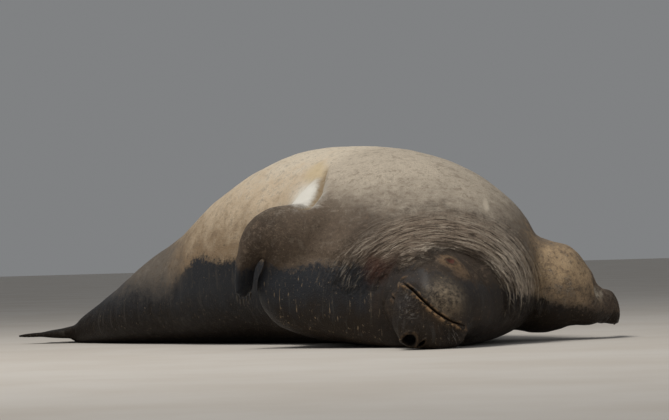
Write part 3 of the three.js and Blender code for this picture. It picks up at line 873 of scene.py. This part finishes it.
# eyes and claws keep their solids
hornLook = {"eye": (0.012, 0.008, 0.006), "eyeRing": (0.05, 0.035, 0.025), "eyeRoughness": 0.08,
            "claw": (0.020, 0.016, 0.013), "clawRidge": (0.11, 0.085, 0.06), "clawRoughness": 0.38}
eyeLook, eyeTree, eyeShader, place = material("wetEye")
eyeTone = blended(hornLook["eye"], hornLook["eyeRing"], place.grain(60, 3).ramp(0.4, 0.7))
feed(eyeTree, eyeShader, Base_Color=eyeTone)
eyeShader.inputs["Roughness"].default_value = hornLook["eyeRoughness"]
clawLook, clawTree, clawShader, place = material("clawHorn")
ridges = place.stretched(1, 1, 0.2).grain(260, 3, 0.6)
clawTone = blended(hornLook["claw"], hornLook["clawRidge"], ridges.ramp(0.45, 0.75))
feed(clawTree, clawShader, Base_Color=clawTone, Normal=raised(ridges, 0.3, 0.001))
clawShader.inputs["Roughness"].default_value = hornLook["clawRoughness"]
for name, node in frame["nodes"].items():
    if "eye" in name or "claw" in name:
        node.data.materials.clear()
        node.data.materials.append(eyeLook if "eye" in name else clawLook)
print("eyes and claws coloured")

# whiskers on both pads: one is modelled, the rest are copies of it
whiskerForm = {
    "rows": 5, "perRow": 6, "shortest": 0.05, "longest": 0.12, "thick": 0.0012, "joints": 6,
    "droop": 0.22, "taper": 0.80, "tip": 0.35, "sunk": 0.004,
    # where the first one grows on the head, and the steps to the next row and column
    "first": (-0.115, 0.150, -0.025), "rowStep": 0.020, "columnStep": (0.024, 0.012),
    "root": (0.03, 0.024, 0.018), "sheen": (0.16, 0.12, 0.08), "roughness": 0.45, "seed": 7,
}
whiskerLook, whiskerTree, whiskerShader, place = material("whiskerHair")
whiskerTone = blended(whiskerForm["root"], whiskerForm["sheen"], place.grain(120, 2).ramp(0.4, 0.7))
feed(whiskerTree, whiskerShader, Base_Color=whiskerTone)
whiskerShader.inputs["Roughness"].default_value = whiskerForm["roughness"]
tree = surfaceTree(hide)
dice = random.Random(whiskerForm["seed"])
bpy.ops.object.select_all(action="DESELECT")
bpy.ops.mesh.primitive_circle_add(vertices=5, radius=whiskerForm["thick"] / 0.09, fill_type="NGON")
oneWhisker = bpy.context.object
bpy.ops.object.mode_set(mode="EDIT")
bpy.ops.mesh.select_mode(type="FACE")
bpy.ops.mesh.select_all(action="SELECT")
for joint in range(whiskerForm["joints"]):
    # each length leans a little further than the last, and is thinner
    lean = whiskerForm["droop"] * (2 * joint + 1) / whiskerForm["joints"] ** 2
    step = (0, -lean, 1 / whiskerForm["joints"])
    bpy.ops.mesh.extrude_region_move(TRANSFORM_OT_translate={"value": step})
    thinner = whiskerForm["taper" if joint < whiskerForm["joints"] - 1 else "tip"]
    bpy.ops.transform.resize(value=(thinner, thinner, 1))
bpy.ops.mesh.select_all(action="SELECT")
bpy.ops.mesh.normals_make_consistent(inside=False)
bpy.ops.object.mode_set(mode="OBJECT")


def whisker(root, direction, length):
    copied = oneWhisker.copy()
    copied.data = oneWhisker.data.copy()
    bpy.context.scene.collection.objects.link(copied)
    ahead = Vector(direction).normalized()
    down = (Vector((0, 0, -1)) + ahead * ahead.z).normalized()
    across = down.cross(ahead) * -1
    facing = Matrix((across, -down, ahead)).transposed().to_4x4()
    rooted = Matrix.Translation(root - ahead * whiskerForm["sunk"])
    copied.data.transform(rooted @ facing @ Matrix.Scale(length, 4))
    return copied


for sideName, side in (("left", -1), ("right", 1)):
    made = []
    centre = headForm["centre"]
    first, columnStep = whiskerForm["first"], whiskerForm["columnStep"]
    for row in range(whiskerForm["rows"]):
        for column in range(whiskerForm["perRow"]):
            forward = first[0] + columnStep[0] * column + dice.uniform(-0.006, 0.006)
            lateral = side * (first[1] - columnStep[1] * column + dice.uniform(-0.006, 0.006))
            chin = first[2] - whiskerForm["rowStep"] * row + dice.uniform(-0.005, 0.005)
            ray = headDirection(forward - centre[0], lateral - centre[1], chin - centre[2])
            root, normal, _, _ = tree.ray_cast(headPoint(*centre), ray)
            length = dice.uniform(whiskerForm["shortest"], whiskerForm["longest"])
            if root is None or root.z < 0.05:  # too near the floor
                continue
            leaning = normal + headDirection(0.35, side * 0.4, -0.3) * 0.8
            made.append(whisker(root, leaning, min(length, root.z * 0.9)))
    bpy.ops.object.select_all(action="DESELECT")
    for hair in made:
        hair.select_set(True)
    bpy.context.view_layer.objects.active = made[0]
    bpy.ops.object.join()
    whiskers = bpy.context.object
    whiskers.name = sideName + "Whiskers"
    whiskers.data.name = whiskers.name
    whiskers.data.materials.append(whiskerLook)
    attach(whiskers, "root")
bpy.data.objects.remove(oneWhisker)
print("whiskers set")

# the floor's look
floorLook, floorTree, floorShader, place = material("paleSand")
tone = place.grain(0.8, 5, 0.6).ramp(0.3, 0.7)
feed(floorTree, floorShader, Base_Color=blended(studio["floor"], studio["floorPatch"], tone))
floorShader.inputs["Roughness"].default_value = 0.9
floor.data.materials.append(floorLook)
